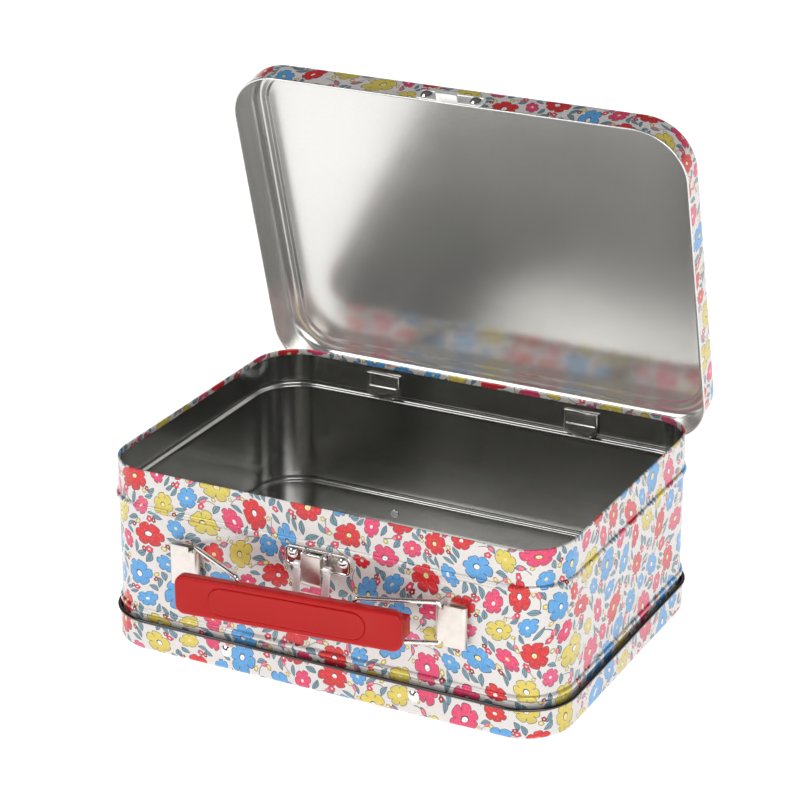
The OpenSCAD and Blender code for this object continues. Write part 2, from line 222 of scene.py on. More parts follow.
# lengths in millimetres
SOFT = 0.10                       # half the width of an edge
CELL = 18.0                       # spacing of the large flowers
BIG_R, MID_R = 6.25, 4.4          # radii of the large and middle flowers
PETALS = 6
TURN = 6.2832                     # a full turn in radians
ROWS_TURN = math.radians(23)      # slant of the rows
WARP, WARP_SPAN = 10.0, 24        # how far the rows wander, and over what length
MIDDLE_SHARE = 0.86               # share of middle places that hold a flower


def lattice(g, p, shift):
    """Square lattice of motifs: local coordinates (mm) and the cell's random numbers."""
    q = g.mapped(p, loc=(shift[0] * CELL, shift[1] * CELL, 0), rot=(0, 0, ROWS_TURN))
    col, pos = g.cells(q, CELL)
    n = g.node("ShaderNodeVectorMath", operation="SUBTRACT")
    g.put(n.inputs[0], q)
    g.put(n.inputs[1], pos)
    return g.xyz(S(g, n.outputs[0])), g.xyz(col)


def turned(g, x, y, ang, at=(0.0, 0.0)):
    """Coordinates about a point, turned by an angle."""
    x, y = x - at[0], y - at[1]
    if isinstance(ang, S):
        c, s = g.m("COSINE", ang), g.m("SINE", ang)
    else:
        c, s = math.cos(ang), math.sin(ang)
    return x * c + y * s, y * c - x * s


def flower(g, x, y, rnd, size, stops, ring):
    """One flower: mask, outline and colour."""
    ang = g.m("ARCTAN2", y, x) + rnd[1] * 6.283
    rad = g.length(x, y)
    turn = ang * (PETALS / TURN) + 20.0                         # counts petals, always above zero
    cell = g.m("FLOOR", turn)
    each = g.node("ShaderNodeTexWhiteNoise", noise_dimensions="2D")
    g.put(each.inputs["Vector"], g.vec(g.m("MODULO", cell, float(PETALS)), rnd[0] * 97.0))
    own = S(g, each.outputs[0])
    part = g.m("ABSOLUTE", (turn - cell) - 0.5) * 2.0           # 0 mid-petal, 1 at the seam
    lobe = g.m("SQRT", g.m("MAXIMUM", 1.0 - part * part * 0.97, 0.0))
    tip = g.m("COSINE", (turn - cell - 0.5) * (TURN * 1.5)) * -0.022
    r0 = size * (rnd[2] * 0.14 + 0.86)
    edge = r0 * (lobe * 0.34 + 0.60 + tip + own * 0.09)
    d = rad - edge
    mask = g.step(d, SOFT, -SOFT)
    line = g.step(g.m("ABSOLUTE", d - 0.02), 0.20, 0.07)
    colour = g.choice(rnd[0], stops)
    mottle = g.noise(g.vec(x, y, rnd[2] * 50), 1.3, 3, 0.6)
    colour = g.mix(g.step(mottle, 0.5, 0.72) * 0.10, colour, (1, 0.95, 0.9))
    colour = g.mix(g.step(mottle, 0.5, 0.3) * 0.10, colour, INK)
    low = g.step(x * 0.5 - y + rad * 0.55, 1.0, r0 * 1.35)
    colour = g.mix(low * 0.14, colour, INK)
    seam = g.step(part, 0.8, 1.0) * g.step(rad, r0 * 0.50, r0 * 0.62) * (own > 0.25)
    colour = g.mix(seam * 0.75, colour, INK)
    eye = size * (0.17 if ring else 0.15)
    if ring:
        off = g.length(x + 0.12, y - 0.14)
        colour = g.mix(g.step(off, eye + 0.42, eye + 0.24) * 0.92, colour, INK)
    inner = g.mix(rnd[1] > 0.5, EYE_WHITE, EYE_YELLOW)
    colour = g.mix(g.step(rad, eye + 0.08, eye - 0.08), colour, inner)
    dot = g.length(x - 0.25, y + 0.2)
    colour = g.mix(g.step(dot, 0.55, 0.1) * 0.45, colour, rgb(130, 140, 150))
    return mask, line, colour


def leaf(g, base, x, y, at, ang, length, width, rnd, on=None):
    """A pointed leaf with a mid-vein."""
    u, v = turned(g, x, y, ang, at)
    t = u / (length / 2)
    bend = v + t * t * 0.35
    half = g.m("MAXIMUM", 1.0 - t * t, 0.0) * (width / 2)
    d = g.m("ABSOLUTE", bend) - half
    inside = g.m("ABSOLUTE", t) < 1.06
    mask = g.step(d, SOFT, -SOFT) * inside
    line = g.step(g.m("ABSOLUTE", d), 0.20, 0.06) * inside * 0.8
    if on is not None:
        mask, line = mask * on, line * on
    vein = g.m("SINE", (u + g.m("ABSOLUTE", bend) * 1.1) * 6.5)
    tone = g.mix(rnd, LEAF, rgb(128, 160, 170))
    tone = g.mix(g.step(vein, 0.3, 0.95) * 0.35, tone, rgb(66, 96, 112))
    tone = g.mix(g.step(g.m("ABSOLUTE", bend), 0.17, 0.06) * 0.85, tone, rgb(52, 76, 92))
    base = g.mix(mask, base, tone)
    return g.mix(line, base, INK)


def blossom(g, base, x, y, at, size, colour, edge, on=None):
    """A tiny five-petalled flower with a pale eye."""
    x, y = x - at[0], y - at[1]
    rad = g.length(x, y)
    wave = g.m("COSINE", g.m("ARCTAN2", y, x) * 5.0 + at[0])
    d = rad - size * (wave * 0.10 + 0.92)
    mask = g.step(d, SOFT, -SOFT)
    line = g.step(g.m("ABSOLUTE", d), 0.22, 0.08) * 0.75
    if on is not None:
        mask, line = mask * on, line * on
    tone = g.mix(g.step(rad, size * 0.36, size * 0.2), colour, rgb(240, 226, 190))
    base = g.mix(mask, base, tone)
    return g.mix(line, base, edge)


def sprig(g, base, x, y, at, ang, on):
    """A thin stem that ends in a pink bud."""
    u, v = turned(g, x, y, ang, at)
    bend = v + u * u * 0.07
    stem = g.step(g.m("ABSOLUTE", bend), 0.22, 0.10) * (g.m("ABSOLUTE", u) < 2.3)
    base = g.mix(stem * on * 0.9, base, rgb(70, 88, 88))
    bu, bv = u - 2.7, bend
    bud = g.m("SQRT", bu * bu * 0.6 + bv * bv)
    base = g.mix(g.step(bud, 1.12, 0.96) * on, base, rgb(120, 50, 66))
    base = g.mix(g.step(bud, 0.98, 0.82) * on, base, rgb(226, 96, 122))
    streak = g.step(g.m("ABSOLUTE", bv - 0.15), 0.16, 0.06) * g.step(bud, 0.9, 0.7)
    return g.mix(streak * on * 0.6, base, rgb(240, 190, 196))


def warped(g, p):
    """The print's coordinates, bent a little so that no row is straight."""
    n = g.node("ShaderNodeTexNoise", noise_dimensions="2D")
    g.put(n.inputs["Vector"], p)
    n.inputs["Scale"].default_value = 1 / WARP_SPAN
    n.inputs["Detail"].default_value = 0.6
    off = g.node("ShaderNodeVectorMath", operation="SUBTRACT")
    g.put(off.inputs[0], S(g, n.outputs["Color"]))
    off.inputs[1].default_value = (0.5, 0.5, 0.5)
    add = g.node("ShaderNodeVectorMath", operation="MULTIPLY_ADD")
    g.put(add.inputs[0], S(g, off.outputs[0]))
    add.inputs[1].default_value = (WARP, WARP, 0)
    g.put(add.inputs[2], p)
    return S(g, add.outputs[0])


def print_colour(g, p):
    """The ditsy print's colour at p (millimetres)."""
    q = warped(g, p)
    base = g.mix(g.noise(p, 0.03, 3) * 0.5, GROUND, rgb(213, 208, 204))

    # the gaps between the flowers: leaves, sprigs, tiny blossoms and buds
    for k, shift in enumerate(((0.5, 0.0), (0.0, 0.5))):
        (x, y, _), r = lattice(g, q, shift)
        if k:
            x, y = y, x
        x = x * (1.0 - (r[0] > 0.5) * 2.0)
        y = y * (1.0 - (r[1] > 0.5) * 2.0)
        # x runs between two large flowers, y between two middle ones
        kind = r[2] > 0.45
        other = 1.0 - kind
        base = leaf(g, base, x, y, (-0.7, 2.9), r[0] * 0.9 + 0.3, 4.8, 2.0, r[1])
        base = leaf(g, base, x, y, (0.9, -3.0), r[1] * 0.9 - 0.2, 4.8, 1.9, r[0], r[0] < 0.7)
        base = leaf(g, base, x, y, (-0.5, -0.25), r[2] * 1.4 + 0.7, 4.6, 1.9, r[2], other)
        base = sprig(g, base, x, y, (-0.6, -0.2), r[0] * 0.9 + 0.9, kind)
        base = blossom(g, base, x, y, (1.75, 0.7), 1.0, TINY_RED, INK, other)
        base = blossom(g, base, x, y, (-2.3, -1.2), 0.85, TINY_YELLOW, OCHRE, kind)
        size, colour = (1.35, TINY_PINK) if k else (1.0, TINY_YELLOW)
        base = blossom(g, base, x, y, (2.5, 2.6), size, colour, INK)

    # middle flowers, and in some places a bunch of leaves instead
    (x, y, _), r = lattice(g, q, (0.5, 0.5))
    here = r[1] < MIDDLE_SHARE
    bunch = 1.0 - here
    base = leaf(g, base, x, y, (-1.8, 0.6), 1.1, 5.2, 2.3, r[0], bunch)
    base = leaf(g, base, x, y, (1.7, 0.9), 2.0, 5.2, 2.2, r[2], bunch)
    base = blossom(g, base, x, y, (0.0, -1.9), 1.4, TINY_PINK, INK, bunch)
    stops = [(0, PINK), (0.34, BLUE), (0.66, PALE_PINK), (0.80, RED), (0.92, YELLOW)]
    mask, line, colour = flower(g, x, y, r, MID_R, stops, False)
    base = g.mix(mask * here, base, colour)
    base = g.mix(line * here * 0.85, base, INK)

    # large flowers
    (x, y, _), r = lattice(g, q, (0.0, 0.0))
    stops = [(0, RED), (0.36, BLUE), (0.62, YELLOW), (0.86, PINK)]
    mask, line, colour = flower(g, x, y, r, BIG_R, stops, True)
    base = g.mix(mask, base, colour)
    return g.mix(line * 0.9, base, INK)


def printed_tin():
    """Litho print on tinplate under a thin varnish."""
    g = Graph("printed_tin")
    p = g.attr("pat")
    colour = print_colour(g, p)
    wear = g.noise(p, 0.9, 4, 0.6)
    colour = g.mix(g.step(wear, 0.3, 0.8) * 0.05, colour, (0.5, 0.48, 0.46))
    rough = g.step(g.noise(p, 0.06, 3), 0.3, 0.7, 0.2, 0.3) + g.noise(p, 2.5, 2) * 0.05
    bump = g.bump(g.noise(p, 0.35, 2), 0.5, 0.00003)
    g.set(Base_Color=colour, Roughness=rough, Normal=bump, IOR=1.5, Metallic=0.3)
    g.bsdf.inputs["Coat Weight"].default_value = 0.35
    g.bsdf.inputs["Coat Roughness"].default_value = 0.12
    return g.mat


def bare_tin(name, tone, rough_lo, rough_hi, metal=1.0):
    """Bare tinplate: a fine orange peel with short flecks along the rolling direction."""
    g = Graph(name)
    p = g.attr("pat")
    peel = g.noise(g.mapped(p, scale=(0.6, 1.2, 1.0)), 1.0, 2, 0.5)
    fleck = g.noise(g.mapped(p, scale=(0.12, 1.0, 1.0)), 1.9, 3, 0.6)
    grain = g.noise(p, 3.6, 2, 0.7)
    cloud = g.noise(p, 0.016, 2, 0.5)
    tint = g.mix(g.step(peel, 0.35, 0.65), tuple(c * 0.965 for c in tone), tone)
    tint = g.mix(g.step(grain, 0.45, 0.8) * 0.3, tint, tuple(c * 1.06 for c in tone))
    tint = g.mix(g.step(fleck, 0.5, 0.74) * 0.06, tint, tuple(c * 0.86 for c in tone))
    rough = g.step(cloud, 0.3, 0.7, rough_lo, rough_hi) + g.step(fleck, 0.3, 0.7, -0.01, 0.015)
    normal = g.bump(peel, 0.12, 0.00002)
    g.set(Base_Color=tint, Metallic=metal, Roughness=rough, Normal=normal)
    g.bsdf.inputs["Anisotropic"].default_value = 0.25
    return g.mat


def nickel(name, tone, rough, metal=1.0):
    """Nickel plate with uneven polish and specks of dirt."""
    g = Graph(name)
    p = g.position()
    cloud = g.noise(p, 260, 3, 0.55)
    fine = g.noise(g.mapped(p, scale=(1, 1, 4)), 1800, 3, 0.6)
    tint = g.mix(g.step(cloud, 0.35, 0.7), tone, tuple(c * 0.93 for c in tone))
    dirt = g.noise(p, 900, 4, 0.7)
    tint = g.mix(g.step(dirt, 0.66, 0.8) * 0.35, tint, (0.30, 0.27, 0.25))
    r = g.step(cloud, 0.3, 0.75, rough, rough + 0.12) + g.step(fine, 0.4, 0.7, 0.0, 0.05)
    g.set(Base_Color=tint, Metallic=metal, Roughness=r, Normal=g.bump(fine, 0.25, 0.00001))
    return g.mat


def red_plastic():
    """Moulded plastic with a fine grain and faint rub marks."""
    g = Graph("red_plastic")
    p = g.position()
    tone = g.mix(g.noise(p, 60, 3), rgb(172, 5, 3), rgb(178, 8, 5))
    spark = g.noise(p, 5200, 2, 0.7)
    tone = g.mix(g.step(spark, 0.62, 0.8) * 0.06, tone, rgb(226, 70, 58))
    mark = g.noise(g.mapped(p, scale=(1, 1, 6)), 420, 4, 0.65)
    rough = g.step(mark, 0.35, 0.7, 0.30, 0.34)
    normal = g.bump(g.noise(p, 3400, 2, 0.6), 0.15, 0.00001)
    g.set(Base_Color=tone, Roughness=rough, Normal=normal, IOR=1.36)
    g.bsdf.inputs["Coat Weight"].default_value = 0.04
    g.bsdf.inputs["Coat Roughness"].default_value = 0.18
    g.bsdf.inputs["Subsurface Weight"].default_value = 0.04
    return g.mat


M_PRINT = printed_tin()
M_TIN = bare_tin("bare_tin", (0.60, 0.595, 0.575), 0.25, 0.29)
# darker copy of the bare tin for the inside of the case: painted shade
M_WALL_SHADED = bare_tin("bare_tin_wall_painted_shade", (0.46, 0.46, 0.445), 0.18, 0.22)
# brighter, part-diffuse copy of the bare tin for the inside of the lid: painted light
M_LID_LIT = bare_tin("lid_tin_painted_light", (0.76, 0.755, 0.73), 0.19, 0.22, 0.82)
# near-black tin for the tray's rolled rim: painted shade and painted dark reflection in place of bare tin
M_ROLL_SHADE = bare_tin("rolled_rim_painted_shade", (0.09, 0.085, 0.085), 0.12, 0.16)
M_EDGE = bare_tin("rolled_edge", (0.74, 0.74, 0.73), 0.16, 0.24)
M_NICKEL = nickel("nickel", (0.80, 0.78, 0.75), 0.10)
M_RIVET = nickel("rivet_nickel", (0.84, 0.83, 0.81), 0.08)
M_SATIN = nickel("satin_nickel", (0.75, 0.70, 0.65), 0.28)
# brighter, half-diffuse copy of the nickel for the bail and the lid catch: painted highlight so they read
# white
M_BAIL_LIT = nickel("nickel_painted_highlight", (0.95, 0.94, 0.92), 0.30, 0.55)
M_RED = red_plastic()


# ------------------------------------------------------------------ pressed sheet
# millimetres, the same as the CAD model's
W, D, R = 200.0, 148.0, 20.0      # main wall: width, depth, corner radius
T = 0.35                          # sheet thickness
FOOT, RIM, HEM = 1.2, 80.0, 2.0   # wall's lower edge, top rim, hem inside the rim
HEM_R = 0.45                      # outer radius of the rim's fold
STOP, LOW, BEAD = 64.0, 17.6, 1.5     # heights of the two beads, and their radius
BEAD_ARC = 62                     # degrees from a bead's crown to its fillets
TRAY_GAP, TRAY_Z = 0.9, 14.4      # tray's gap to the wall, height of its rim
TRAY_BEND, TRAY_ROLL = 2.3, 0.85  # rounded edge of the floor, rolled rim
LID_GAP, LID_HEM_Z, LID_DEPTH = 1.2, 66.1, 16.6   # gap to the wall, hem's height, depth
LID_HEM_R, LID_EDGE_R, LID_ROLL = 0.5, 5.0, 1.2   # hem, rounded edge, height left for the rolled edge
LID_STEP, LID_SLOPE = 0.8, 1.4    # raised panel's height and the width of its slope
HINGE_U, HINGE_RISE = 3.9, 0.6    # pivot behind the wall and above the bead
HINGE_X, HINGE_W = 47.0, 15.5     # half the spacing of the hinges, and their width
LID_OPEN = math.radians(74)
# how the pressed sheet wavers: 1 / span along the wall, up the wall and across a panel
WAVE, WAVE_UP, WAVE_PANEL = 0.021, 0.03, 0.017


def loop_path(corner=20, pitch=5.0):
    """Points, outward normals and arc lengths round the case, counter-clockwise from the back's middle."""
    pts = []

    def straight(a, b, n):
        k = max(1, round((Vector(b) - Vector(a)).length / pitch))
        for i in range(k):
            t = i / k
            pts.append((a[0] + (b[0] - a[0]) * t, a[1] + (b[1] - a[1]) * t, n[0], n[1]))

    def arc(c, a0):
        for i in range(corner):
            a = math.radians(a0 + 90 * i / corner)
            pts.append((c[0] + R * math.cos(a), c[1] + R * math.sin(a), math.cos(a), math.sin(a)))

    x, y = W / 2, D / 2
    straight((0, y), (-x + R, y), (0, 1))
    arc((-x + R, y - R), 90)
    straight((-x, y - R), (-x, -y + R), (-1, 0))
    arc((-x + R, -y + R), 180)
    straight((-x + R, -y), (x - R, -y), (0, -1))
    arc((x - R, -y + R), 270)
    straight((x, -y + R), (x, y - R), (1, 0))
    arc((x - R, y - R), 0)
    straight((x - R, y), (0, y), (0, 1))
    p = np.array(pts)
    step = np.linalg.norm(np.roll(p[:, :2], -1, 0) - p[:, :2], axis=1)
    s = np.concatenate([[0], np.cumsum(step)])
    return p, s


PATH, ARC = loop_path()
FRONT_S = float(ARC[np.argmin(np.hypot(PATH[:, 0], PATH[:, 1] + D / 2))])


def curve_points(moves, start):
    """A sheet's centre line in (u, z), from moves: ("go", du, dz, points) and
    ("arc", radius, turn in degrees, points), which keeps the heading."""
    pts = [start]
    heading = None
    for mv in moves:
        u, z = pts[-1]
        if mv[0] == "go":
            _, du, dz, n = mv
            heading = math.atan2(dz, du)
            pts += [(u + du * i / n, z + dz * i / n) for i in range(1, n + 1)]
        else:
            _, r, turn, n = mv
            side = 1 if turn > 0 else -1
            cu = u - side * r * math.sin(heading)
            cz = z + side * r * math.cos(heading)
            a0 = math.atan2(z - cz, u - cu)
            for i in range(1, n + 1):
                a = a0 + math.radians(turn) * i / n
                pts.append((cu + r * math.cos(a), cz + r * math.sin(a)))
            heading += math.radians(turn)
    return pts


def bead_moves(r, blend=0.8):
    """A bead pressed outwards between two fillets, heading upwards: half its height and its moves."""
    lead = (r + blend) * math.sin(math.radians(BEAD_ARC))
    fillet = ("arc", blend, -BEAD_ARC, 4)
    return lead, [fillet, ("arc", r, 2 * BEAD_ARC, 14), fillet]


def offsets(line):
    """Unit normals of the centre line, on its right-hand side."""
    p = np.array(line)
    t = np.gradient(p, axis=0)
    t /= np.linalg.norm(t, axis=1)[:, None]
    return np.stack([t[:, 1], -t[:, 0]], 1)


def make_sheet(name, line, materials, wobble, wrap_from=0, bare_from=999, face=1, panel=False,
               transform=None):
    """Sweeps a centre line round the case as a sheet of real thickness.
    materials: printed side, bare side, raw edges.
    wobble: how far the sheet wavers inwards, in millimetres.
    wrap_from: the print wraps round from this point of the line, and runs on from the flat before it.
    bare_from: from this point of the line both sides take the third material.
    face: 1 where the line's right-hand side is the printed one, -1 where it is the left.
    panel: a flat panel closes the sheet inside the line's first point."""
    line = np.array(line)
    nrm = offsets(line)
    length = np.concatenate([[0], np.cumsum(np.linalg.norm(np.diff(line, axis=0), axis=1))])
    bm = bmesh.new()
    pat = bm.loops.layers.float_vector.new("pat")
    n, k = len(PATH), len(line)
    turned_over = face < 0
    sides = []
    for side, sign in ((0, face), (1, -face)):
        grid = []
        for j in range(k):
            u, z = line[j] + nrm[j] * sign * T / 2
            ring = []
            for i in range(n):
                x, y, nx, ny = PATH[i]
                w = -abs(wobble * noise.noise(Vector((x * WAVE, y * WAVE, z * WAVE_UP + 5))))
                w *= min(1.0, max(0.0, (z - 2) / 6))          # none near the ground
                ring.append(bm.verts.new(((x + nx * (u + w)) * MM, (y + ny * (u + w)) * MM, z * MM)))
            grid.append(ring)
        sides.append(grid)

    def coord(i, j, wrapped):
        x, y, nx, ny = PATH[i % n]
        if wrapped:
            return (ARC[i] - FRONT_S, length[j], 0.0)
        r = length[j] + line[0][0]
        return (x + nx * r, y + ny * r, 0.0)

    def quad(vs, cs, mat, rev):
        if rev:
            vs, cs = vs[::-1], cs[::-1]
        f = bm.faces.new(vs)
        f.material_index = mat
        f.smooth = True
        for lp, c in zip(f.loops, cs):
            lp[pat] = c

    for side in (0, 1):
        grid = sides[side]
        for j in range(k - 1):
            for i in range(n):
                i2 = (i + 1) % n
                quad([grid[j][i], grid[j][i2], grid[j + 1][i2], grid[j + 1][i]],
                     [coord(i, j, j >= wrap_from), coord(i + 1, j, j >= wrap_from),
                      coord(i + 1, j + 1, j >= wrap_from), coord(i, j + 1, j >= wrap_from)],
                     2 if j >= bare_from else side, (side == 1) != turned_over)
    for j in ([k - 1] if panel else [0, k - 1]):          # raw edges of the sheet
        for i in range(n):
            i2 = (i + 1) % n
            quad([sides[0][j][i], sides[0][j][i2], sides[1][j][i2], sides[1][j][i]],
                 [coord(i, j, True)] * 4, 2, (j == 0) != turned_over)
    if panel:                                             # flat panel inside the first ring
        fr = [0.96, 0.9, 0.8, 0.68, 0.56, 0.44, 0.32, 0.2, 0.1]
        for side, sign in ((0, face), (1, -face)):
            u0, z0 = line[0] + nrm[0] * sign * T / 2
            prev = sides[side][0]
            base = [(x + nx * u0, y + ny * u0) for x, y, nx, ny in PATH]
            pc = [(b[0], b[1], 0.0) for b in base]
            for f in fr:
                ring, rc = [], []
                for bx, by in base:
                    x, y = bx * f, by * f
                    w = abs(wobble * noise.noise(Vector((x * WAVE_PANEL, y * WAVE_PANEL, 3.0))))
                    w = face * w * (1 - f) * 2.2
                    ring.append(bm.verts.new((x * MM, y * MM, (z0 + w) * MM)))
                    rc.append((x, y, 0.0))
                for i in range(n):
                    i2 = (i + 1) % n
                    quad([ring[i], ring[i2], prev[i2], prev[i]], [rc[i], rc[i2], pc[i2], pc[i]],
                         side, (side == 1) != turned_over)
                prev, pc = ring, rc
            c = bm.verts.new((0, 0, z0 * MM))
            for i in range(n):
                i2 = (i + 1) % n
                quad([prev[i], prev[i2], c], [pc[i], pc[i2], (0, 0, 0)],
                     side, (side == 0) != turned_over)
    bmesh.ops.recalc_face_normals(bm, faces=bm.faces[:])
    if transform is not None:
        bm.transform(transform)
    return link_mesh(name, bm, materials)


def link_mesh(name, bm, materials=()):
    """Makes a scene object from a bmesh, which is used up."""
    me = bpy.data.meshes.new(name)
    bm.to_mesh(me)
    bm.free()
    for m in materials:
        me.materials.append(m)
    return link_object(name, me)


def link_object(name, data):
    ob = bpy.data.objects.new(name, data)
    bpy.context.scene.collection.objects.link(ob)
    return ob


def unit_box(bm, lo, hi, scale=1.0):
    """A box between two corners in mm, at a scale."""
    size = [(h - l) * scale for l, h in zip(lo, hi)]
    mid = [(h + l) / 2 * scale for l, h in zip(lo, hi)]
    bmesh.ops.create_cube(bm, size=1, matrix=Matrix.Translation(mid) @ Matrix.Diagonal((*size, 1)))


def cut(ob, boxes):
    """Cuts box-shaped windows out of a sheet. Each box: (low corner, high corner) in mm."""
    bm = bmesh.new()
    for lo, hi in boxes:
        unit_box(bm, lo, hi, MM)
    cutter = link_mesh("cutter", bm)
    mod = ob.modifiers.new("cut", "BOOLEAN")
    mod.operation = "DIFFERENCE"
    mod.solver = "EXACT"
    mod.object = cutter
    apply_modifiers(ob)
    me = cutter.data
    bpy.data.objects.remove(cutter)
    bpy.data.meshes.remove(me)


def apply_modifiers(ob):
    deps = bpy.context.evaluated_depsgraph_get()
    me = bpy.data.meshes.new_from_object(ob.evaluated_get(deps))
    old = ob.data
    ob.modifiers.clear()
    ob.data = me
    me.name = ob.name
    bpy.data.meshes.remove(old)


# body: up the wall through both beads, over the rim and a flattened hem inside
lead, bead = bead_moves(BEAD - T / 2)
body_line = curve_points(
    [("go", 0, LOW - lead - FOOT, 4)] + bead
    + [("go", 0, STOP - LOW - 2 * lead, 22)] + bead
    + [("go", 0, RIM - HEM_R + T / 2 - STOP - lead - 0.1, 8), ("arc", 0.27, 180, 8), ("go", 0, -HEM, 3)],
    (-T / 2, FOOT))
# the inside of the case takes the darker tin, a painted shade
body = make_sheet("body_shell_print", body_line, [M_PRINT, M_WALL_SHADED, M_EDGE], 0.10)

# tray: flat floor, rounded edge, wall and a rim rolled outwards
TRAY_FLAT = 6.0                   # width of floor made by the sweep, outside the panel
tray_line = curve_points(
    [("go", TRAY_FLAT, 0, 3), ("arc", TRAY_BEND, 90, 8),
     ("go", 0, TRAY_Z - TRAY_BEND - T / 2 - TRAY_ROLL, 5), ("arc", 0.53, -300, 18)],
    (TRAY_GAP + T / 2 - TRAY_BEND - TRAY_FLAT, T / 2))
# both sides of the rolled rim take the near-black tin, a painted shade
tray = make_sheet("base_tray_print", tray_line, [M_PRINT, M_TIN, M_ROLL_SHADE], 0.12,
                  wrap_from=7, bare_from=17, panel=True)

# lid, built closed and then turned open: flat, slope down, ledge, rounded edge, skirt, rolled edge
HINGE = Vector((0, (D / 2 + HINGE_U) * MM, (STOP + HINGE_RISE) * MM))
lid_turn = Matrix.Translation(HINGE) @ Matrix.Rotation(-LID_OPEN, 4, "X") @ Matrix.Translation(-HINGE)
LID_FLAT, LEDGE = 4.0, 1.1
slope = math.atan2(LID_STEP, LID_SLOPE)
edge_r = LID_EDGE_R - T / 2
lid_line = curve_points(
    [("go", LID_FLAT, 0, 2), ("arc", 0.7, -math.degrees(slope), 4), ("go", 0.95, -0.5, 1),
     ("arc", 0.7, math.degrees(slope), 4), ("go", LEDGE, 0, 1), ("arc", edge_r, -90, 12),
     ("go", 0, -(LID_DEPTH - LID_EDGE_R - LID_ROLL), 5), ("arc", 0.30, 265, 12)],
    (LID_GAP + T / 2 - edge_r - LEDGE - LID_FLAT - 1.75,
     LID_HEM_Z - LID_HEM_R + LID_DEPTH + LID_STEP - T / 2))
# the inside of the lid takes the brighter tin, a painted light
lid = make_sheet("lid_shell_print", lid_line, [M_PRINT, M_LID_LIT, M_EDGE], 0.16,
                 wrap_from=99, face=-1, panel=True, transform=lid_turn)

# slots for the hinge tongues in the bead, and the windows in the neck
KNUCKLE, BORDER = 4.2, 1.4
slots, windows = [], []
for sx in (-1, 1):
    x = sx * HINGE_X
    slots.append(((x - KNUCKLE, D / 2 - 4, STOP - 0.7), (x + KNUCKLE, D / 2 + 4, STOP + 0.7)))
    half = HINGE_W / 2 - BORDER
    windows.append(((x - half, D / 2 - 2, STOP + 6.3), (x + half, D / 2 + 2, STOP + 10.2)))
cut(body, slots + windows)

for ob, bodyname, node in ((body, "case", "body_shell"), (tray, "case", "base_tray"),
                           (lid, "lid", "lid_shell")):
    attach(ob, bodyname)
    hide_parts(node)


# ------------------------------------------------------------------ hardware
def finish_piece(name, bm, material, node, transform=None, angle=34):
    """Turns a bmesh in millimetres into a piece that stands in for one node."""
    bmesh.ops.recalc_face_normals(bm, faces=bm.faces[:])
    limit = math.radians(angle)
    for edge in bm.edges:
        edge.smooth = not (len(edge.link_faces) == 2 and edge.calc_face_angle(0.0) > limit)
    for f in bm.faces:
        f.smooth = True
    bm.transform(Matrix.Scale(MM, 4))
    if transform is not None:
        bm.transform(transform)
    ob = link_mesh(name, bm, [material])
    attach(ob, nodes[node]["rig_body"])
    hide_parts(node)


def rounded_ring(w, h, r, steps=7):
    """Points of a rounded rectangle, the same number and order for every size."""
    pts = []
    for sx, sy, a0 in ((1, 1, 0), (-1, 1, 90), (-1, -1, 180), (1, -1, 270)):
        for i in range(steps + 1):
            a = math.radians(a0 + 90 * i / steps)
            pts.append((sx * (w / 2 - r) + r * math.cos(a), sy * (h / 2 - r) + r * math.sin(a)))
    return pts


def loft(bm, rings, at=(0, 0, 0)):
    """Joins rounded rectangles that face the front. Each ring: width, height, radius, distance outwards."""
    rows = []
    for w, h, r, out in rings:
        ring = rounded_ring(w, h, r)
        rows.append([bm.verts.new((at[0] + x, at[1] - out, at[2] + z)) for x, z in ring])
    for a, b in zip(rows, rows[1:]):
        for i in range(len(a)):
            k = (i + 1) % len(a)
            bm.faces.new((a[i], a[k], b[k], b[i]))
    bm.faces.new(rows[0][::-1])
    bm.faces.new(rows[-1])


def lathe(bm, profile, at, axis, turns=32):
    """Turns (radius, height) points about an axis through a point."""
    rot = Vector((0, 0, 1)).rotation_difference(Vector(axis)).to_matrix()

    def vert(x, y, z):
        return bm.verts.new(Vector(at) + rot @ Vector((x, y, z)))

    rows = []
    for r, h in profile:
        if r < 1e-6:
            rows.append([vert(0, 0, h)] * turns)
            continue
        angles = [math.tau * i / turns for i in range(turns)]
        rows.append([vert(r * math.cos(a), r * math.sin(a), h) for a in angles])
    for a, b in zip(rows, rows[1:]):
        for i in range(turns):
            k = (i + 1) % turns
            vs = list(dict.fromkeys((a[i], a[k], b[k], b[i])))
            if len(vs) > 2:
                bm.faces.new(vs)


def block(bm, lo, hi, r=0.2):
    """A box with rounded edges."""
    part = bmesh.new()
    unit_box(part, lo, hi)
    width = min(r, 0.45 * min(h - l for l, h in zip(lo, hi)))
    bmesh.ops.bevel(part, geom=part.edges[:], offset=width, segments=3, profile=0.5, affect="EDGES")
    me = bpy.data.meshes.new("part")
    part.to_mesh(me)
    part.free()
    bm.from_mesh(me)
    bpy.data.meshes.remove(me)


def dished(w, h, r, t, lip=0.75, dish=0.32):
    """Rings of a plate with a raised, rounded lip round a sunk field."""
    rings = [(w - 0.3, h - 0.3, r - 0.1, 0.0), (w, h, r, 0.12), (w, h, r, t * 0.55)]
    for a in (30, 60, 90):
        k = 0.3 * (1 - math.cos(math.radians(a)))
        rings.append((w - 2 * k, h - 2 * k, r - k, t * 0.55 + t * 0.45 * math.sin(math.radians(a))))
    w, h, r = w - 2 * lip, h - 2 * lip, r - lip
    return rings + [(w, h, r, t), (w - 0.3, h - 0.3, r - 0.1, t - 0.08),
                    (w - 0.8, h - 0.8, max(r - 0.4, 0.5), t - dish)]


